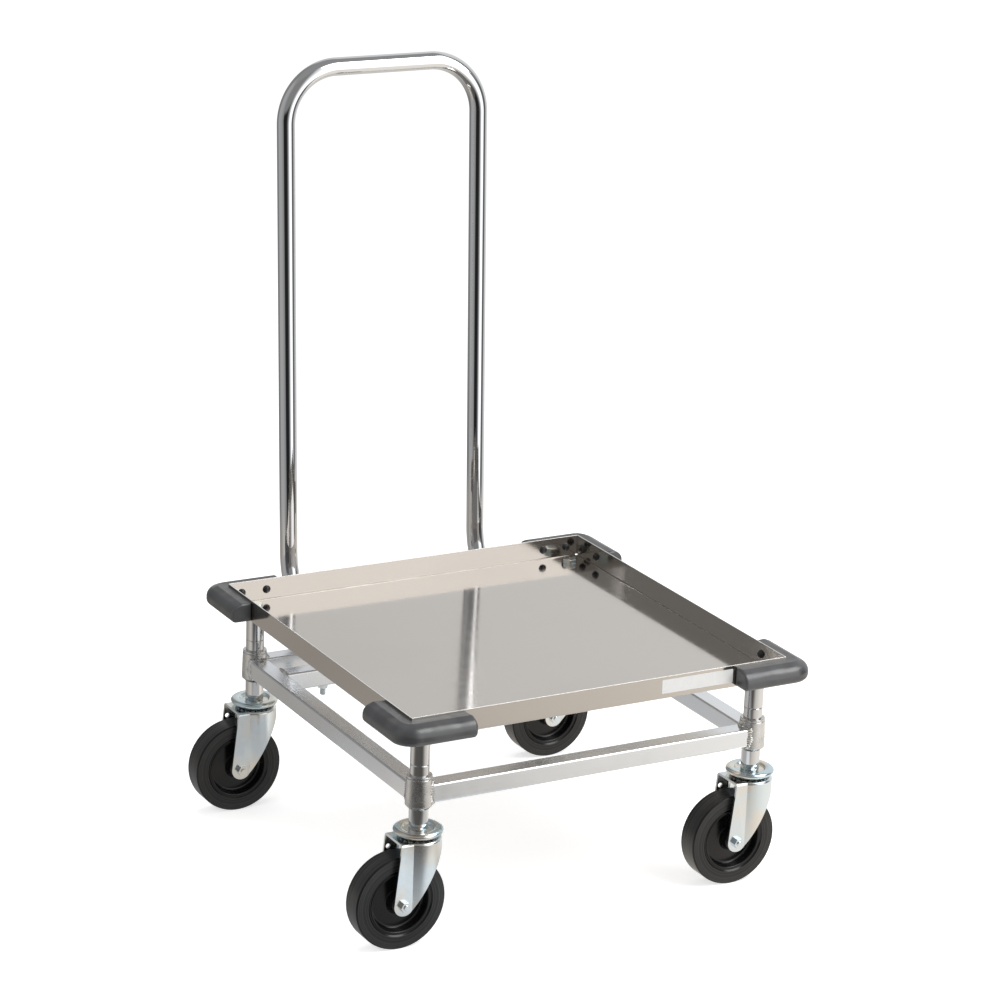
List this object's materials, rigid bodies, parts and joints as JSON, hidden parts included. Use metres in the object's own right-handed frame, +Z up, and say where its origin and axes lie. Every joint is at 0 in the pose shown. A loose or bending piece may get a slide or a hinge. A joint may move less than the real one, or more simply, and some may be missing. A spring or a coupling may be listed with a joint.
{
  "type": "dish rack dolly",
  "caption": "Low steel tray cart for stacked dish racks, with corner bumpers, swivel casters and a tall bent tube push handle behind.",
  "frame": {"origin": "on the floor, under the middle of the whole outline", "axes": "+X to the right along the tray's front edge, +Y to the back where the handle stands, +Z up"},
  "size_m": [0.6528, 0.7124, 1.025],
  "materials": {
    "tray_steel": "bright rolled stainless sheet",
    "chrome": "bright chrome plate on tube and fasteners",
    "zinc": "bright zinc plate with a faint blue tint",
    "cast": "plated casting with a fine grain",
    "bumper_rubber": "grey black moulded rubber, satin",
    "wheel_rubber": "hard black rubber",
    "plug_plastic": "black plastic",
    "steel": "plain steel"
  },
  "bodies": {
    "frame": {"tray": "tray_steel", "tray_bolts": "chrome", "bumper_plugs": "plug_plastic", "post_plugs": "steel", "front_rail": "zinc", "rear_rail": "zinc", "left_rail": "zinc", "right_rail": "zinc", "handle_cross_member": "zinc", "handle": "chrome", "handle_clamp_left_front": "zinc", "handle_clamp_right_front": "zinc", "handle_clamp_left_rear": "zinc", "handle_clamp_right_rear": "zinc", "clamp_bolts": "zinc", "clamp_nuts": "zinc", "caster_stems": "steel", "front_left_bumper": "bumper_rubber", "front_left_post": "chrome", "front_left_collar": "cast", "front_left_cap": "zinc", "front_right_bumper": "bumper_rubber", "front_right_post": "chrome", "front_right_collar": "cast", "front_right_cap": "zinc", "rear_left_bumper": "bumper_rubber", "rear_left_post": "chrome", "rear_left_collar": "cast", "rear_left_cap": "zinc", "rear_right_bumper": "bumper_rubber", "rear_right_post": "chrome", "rear_right_collar": "cast", "rear_right_cap": "zinc"},
    "front_left_swivel": {"front_left_fork": "zinc", "front_left_balls": "steel", "front_left_axle_bolt": "zinc", "front_left_axle_nut": "zinc", "front_left_sleeve": "steel"},
    "front_left_roller": {"front_left_wheel": "wheel_rubber"},
    "front_right_swivel": {"front_right_fork": "zinc", "front_right_balls": "steel", "front_right_axle_bolt": "zinc", "front_right_axle_nut": "zinc", "front_right_sleeve": "steel"},
    "front_right_roller": {"front_right_wheel": "wheel_rubber"},
    "rear_left_swivel": {"rear_left_fork": "zinc", "rear_left_balls": "steel", "rear_left_axle_bolt": "zinc", "rear_left_axle_nut": "zinc", "rear_left_sleeve": "steel"},
    "rear_left_roller": {"rear_left_wheel": "wheel_rubber"},
    "rear_right_swivel": {"rear_right_fork": "zinc", "rear_right_balls": "steel", "rear_right_axle_bolt": "zinc", "rear_right_axle_nut": "zinc", "rear_right_sleeve": "steel"},
    "rear_right_roller": {"rear_right_wheel": "wheel_rubber"}
  },
  "joints": [
    {"name": "front_left_swivel", "type": "hinge", "parent": "frame", "child": "front_left_swivel", "pos_m": [-0.2329, -0.29746, 0.15], "axis": [0, 0, 1], "continuous": true},
    {"name": "front_left_wheel_spin", "type": "hinge", "parent": "front_left_swivel", "child": "front_left_roller", "pos_m": [-0.2629, -0.29746, 0.0635], "axis": [0, 1, 0], "continuous": true},
    {"name": "front_right_swivel", "type": "hinge", "parent": "frame", "child": "front_right_swivel", "pos_m": [0.2677, -0.29746, 0.15], "axis": [0, 0, 1], "continuous": true},
    {"name": "front_right_wheel_spin", "type": "hinge", "parent": "front_right_swivel", "child": "front_right_roller", "pos_m": [0.2377, -0.29746, 0.0635], "axis": [0, 1, 0], "continuous": true},
    {"name": "rear_left_swivel", "type": "hinge", "parent": "frame", "child": "rear_left_swivel", "pos_m": [-0.2329, 0.20314, 0.15], "axis": [0, 0, 1], "continuous": true},
    {"name": "rear_left_wheel_spin", "type": "hinge", "parent": "rear_left_swivel", "child": "rear_left_roller", "pos_m": [-0.2629, 0.20314, 0.0635], "axis": [0, 1, 0], "continuous": true},
    {"name": "rear_right_swivel", "type": "hinge", "parent": "frame", "child": "rear_right_swivel", "pos_m": [0.2677, 0.20314, 0.15], "axis": [0, 0, 1], "continuous": true},
    {"name": "rear_right_wheel_spin", "type": "hinge", "parent": "rear_right_swivel", "child": "rear_right_roller", "pos_m": [0.2377, 0.20314, 0.0635], "axis": [0, 1, 0], "continuous": true}
  ]
}
